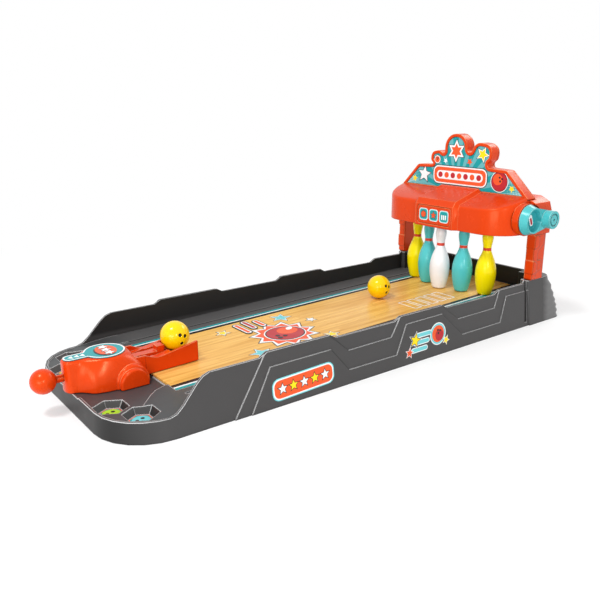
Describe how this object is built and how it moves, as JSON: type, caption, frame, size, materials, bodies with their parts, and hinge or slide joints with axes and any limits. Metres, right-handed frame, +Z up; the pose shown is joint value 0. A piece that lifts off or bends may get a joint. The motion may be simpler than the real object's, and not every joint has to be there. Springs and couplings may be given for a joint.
{
  "type": "tabletop bowling game",
  "caption": "Tray with a sloping lane, a swivelling spring launcher at the front and hanging pins with a crank-driven reset bail under a header with a sign.",
  "frame": {"origin": "middle of the tray's length and width, on the surface the tray stands on: the underside of the middle rib", "axes": "+Y along the lane towards the pins, +X towards the crank's side, +Z up"},
  "size_m": [0.1904, 0.4994, 0.1782],
  "materials": {
    "tray_plastic": "fine satin grain",
    "lane_print": "printed wood grain under clear gloss film",
    "orange_plastic": "high gloss",
    "teal_plastic": "gloss",
    "pin_yellow": "gloss with a red neck band",
    "pin_teal": "gloss with a red neck band",
    "pin_white": "gloss with a red neck band",
    "ball_yellow": "polished",
    "label_print": "printed label with clear film",
    "white_plastic": "satin",
    "dark_plastic": "satin",
    "steel": "plain zinc-plated"
  },
  "bodies": {
    "stand": {"tray": "tray_plastic", "lane_board": "lane_print", "post_left": "orange_plastic", "post_right": "orange_plastic", "header_front_shell": "orange_plastic", "header_rear_shell": "orange_plastic", "sign_shell": "orange_plastic", "sign_back_cover": "orange_plastic", "icon_panel": "label_print", "sign_panel": "label_print", "shaft_bush_left": "white_plastic", "shaft_bush_right": "white_plastic", "pin_carrier": "dark_plastic", "post_screw_left": "steel", "post_screw_right": "steel", "header_screw_left": "steel", "header_screw_right": "steel", "sign_screw_1": "steel", "sign_screw_2": "steel", "carrier_screw_1": "steel", "carrier_screw_2": "steel", "pin_axle_1": "steel", "pin_axle_2": "steel", "pin_axle_3": "steel", "pin_axle_4": "steel", "pin_axle_5": "steel"},
    "launcher": {"launcher_shell": "orange_plastic", "launcher_base": "dark_plastic", "launcher_label": "label_print", "launcher_screw_1": "steel", "launcher_screw_2": "steel", "pivot_washer": "steel", "pivot_screw": "steel", "launch_spring": "steel"},
    "plunger": {"plunger_rod": "orange_plastic", "plunger_knob": "orange_plastic", "striker_head": "orange_plastic", "spring_washer": "steel"},
    "chute_ball": {"chute_ball": "ball_yellow"},
    "lane_ball": {"lane_ball": "ball_yellow"},
    "reset": {"reset_shaft": "steel", "shaft_clip": "steel", "reset_bail": "dark_plastic", "crank": "teal_plastic", "crank_marker": "white_plastic"},
    "pin_1": {"pin_1": "pin_yellow"},
    "pin_2": {"pin_2": "pin_teal"},
    "pin_3": {"pin_3": "pin_white"},
    "pin_4": {"pin_4": "pin_teal"},
    "pin_5": {"pin_5": "pin_yellow"}
  },
  "joints": [
    {"name": "launcher_swivel", "type": "hinge", "parent": "stand", "child": "launcher", "pos_m": [0, -0.199, 0.0146], "axis": [0, 0, 1], "range_deg": [-12, 12]},
    {"name": "plunger_pull", "type": "slide", "parent": "launcher", "child": "plunger", "axis": [0, -1, 0], "range_m": [0, 0.022], "stiffness_N_per_m": 90, "springref_m": -0.008, "deforming": ["launch_spring"]},
    {"name": "chute_ball_lift", "type": "slide", "parent": "launcher", "child": "chute_ball", "axis": [0, 0, 1], "range_m": [0, 0.06]},
    {"name": "lane_ball_lift", "type": "slide", "parent": "stand", "child": "lane_ball", "axis": [0, 0, 1], "range_m": [0, 0.06]},
    {"name": "reset_crank", "type": "hinge", "parent": "stand", "child": "reset", "pos_m": [0, 0.18, 0.1038], "axis": [-1, 0, 0], "range_deg": [0, 83]},
    {"name": "pin_1_swing", "type": "hinge", "parent": "stand", "child": "pin_1", "pos_m": [-0.046, 0.1747, 0.09385], "axis": [1, 0, 0], "range_deg": [0, 80]},
    {"name": "pin_2_swing", "type": "hinge", "parent": "stand", "child": "pin_2", "pos_m": [-0.023, 0.1671, 0.09368], "axis": [1, 0, 0], "range_deg": [0, 80]},
    {"name": "pin_3_swing", "type": "hinge", "parent": "stand", "child": "pin_3", "pos_m": [0, 0.1595, 0.0935], "axis": [1, 0, 0], "range_deg": [0, 80]},
    {"name": "pin_4_swing", "type": "hinge", "parent": "stand", "child": "pin_4", "pos_m": [0.023, 0.1671, 0.09368], "axis": [1, 0, 0], "range_deg": [0, 80]},
    {"name": "pin_5_swing", "type": "hinge", "parent": "stand", "child": "pin_5", "pos_m": [0.046, 0.1747, 0.09385], "axis": [1, 0, 0], "range_deg": [0, 80]}
  ]
}
